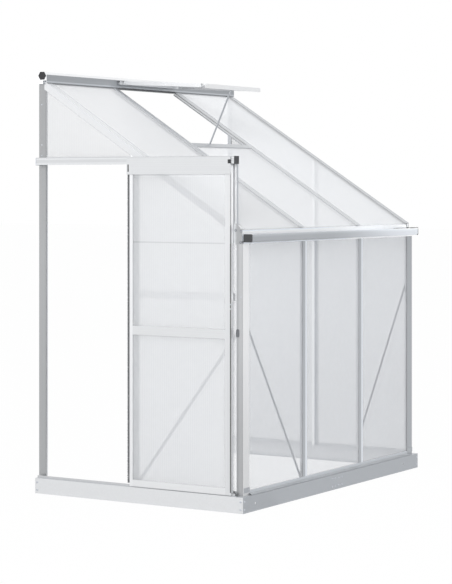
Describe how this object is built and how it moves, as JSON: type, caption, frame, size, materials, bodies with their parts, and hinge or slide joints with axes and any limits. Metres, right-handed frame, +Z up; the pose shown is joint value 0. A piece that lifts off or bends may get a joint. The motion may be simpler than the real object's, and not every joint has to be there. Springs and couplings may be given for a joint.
{
  "type": "lean-to greenhouse",
  "caption": "Lean-to greenhouse: aluminium bars with clear panes on a folded steel base, sliding door, gutter, sloping roof and top-hung roof vent.",
  "frame": {"origin": "middle of the bounding footprint, on the ground", "axes": "+Z up, +Y towards the house wall that closes the open back, +X along the front away from the door end"},
  "size_m": [1.922, 1.3014, 2.2015],
  "materials": {
    "aluminium": "satin mill finish",
    "galvanised_steel": "dull zinc",
    "clear_sheet": "clear smooth",
    "black_plastic": "matte",
    "zinc_screws": "zinc plated",
    "brush_seal": "matte pile",
    "nylon": "smooth"
  },
  "bodies": {
    "frame": {"base_angles": "galvanised_steel", "base_bolts": "zinc_screws", "base_door_side": "galvanised_steel", "base_far_side": "galvanised_steel", "base_front_left": "galvanised_steel", "base_front_right": "galvanised_steel", "base_splice_plate": "galvanised_steel", "corner_post_door_side": "aluminium", "corner_post_far_side": "aluminium", "door_guide_rail": "aluminium", "door_jamb_post": "aluminium", "door_lintel": "aluminium", "door_side_panes": "clear_sheet", "door_side_sill": "aluminium", "door_side_transom": "aluminium", "door_track": "aluminium", "door_track_end_caps": "black_plastic", "eave_gutter": "aluminium", "far_side_mid_post": "aluminium", "far_side_panes": "clear_sheet", "far_side_sill": "aluminium", "frame_bolts": "zinc_screws", "front_glazing_bars": "aluminium", "front_panes": "clear_sheet", "front_sill": "aluminium", "gutter_end_caps": "black_plastic", "post_and_bar_feet": "galvanised_steel", "rafter_door_side": "aluminium", "rafter_far_side": "aluminium", "rafter_left": "aluminium", "rafter_right": "aluminium", "ridge_beam": "aluminium", "ridge_end_caps": "black_plastic", "roof_panes": "clear_sheet", "track_support_bracket": "aluminium", "track_support_upright": "aluminium", "vent_hinge_bead": "aluminium", "vent_sill_bar": "aluminium", "vent_stay_peg": "galvanised_steel", "wall_braces": "galvanised_steel", "wall_post_door_side": "aluminium", "wall_post_far_side": "aluminium"},
    "door": {"door_trailing_stile": "aluminium", "door_leading_stile": "aluminium", "door_middle_rail": "aluminium", "door_top_rail": "aluminium", "door_bottom_rail": "aluminium", "door_panes": "clear_sheet", "door_top_cover": "aluminium", "door_stop_cap": "black_plastic", "door_brush_seal": "brush_seal", "door_roller_hangers": "galvanised_steel"},
    "trailing_roller": {"door_roller_trailing": "nylon"},
    "leading_roller": {"door_roller_leading": "nylon"},
    "vent": {"vent_hinge_rail": "aluminium", "vent_side_rails": "aluminium", "vent_bottom_rail": "aluminium", "vent_pane": "clear_sheet", "vent_stay_bracket": "galvanised_steel"},
    "stay": {"vent_stay": "galvanised_steel"}
  },
  "joints": [
    {"name": "door_slide", "type": "slide", "parent": "frame", "child": "door", "axis": [0, 1, 0], "range_m": [0, 0.568]},
    {"name": "trailing_roller_spin", "type": "hinge", "parent": "door", "child": "trailing_roller", "pos_m": [-0.9415, -0.47825, 1.7269], "axis": [1, 0, 0], "continuous": true},
    {"name": "leading_roller_spin", "type": "hinge", "parent": "door", "child": "leading_roller", "pos_m": [-0.9415, 0.00075, 1.7269], "axis": [1, 0, 0], "continuous": true},
    {"name": "vent_hinge", "type": "hinge", "parent": "frame", "child": "vent", "pos_m": [0, 0.58375, 2.168], "axis": [1, 0, 0], "range_deg": [0, 31]},
    {"name": "stay_swing", "type": "hinge", "parent": "vent", "child": "stay", "pos_m": [-0.0085, 0.04101, 2.11157], "axis": [0, 0.9608, 0.2773], "range_deg": [0, 56]}
  ],
  "couplings": [
    {"joint": "trailing_roller_spin", "follows": "door_slide", "rad_per_m": -90.909},
    {"joint": "leading_roller_spin", "follows": "door_slide", "rad_per_m": -90.909},
    {"joint": "stay_swing", "follows": "vent_hinge", "ratio": 1.8}
  ]
}
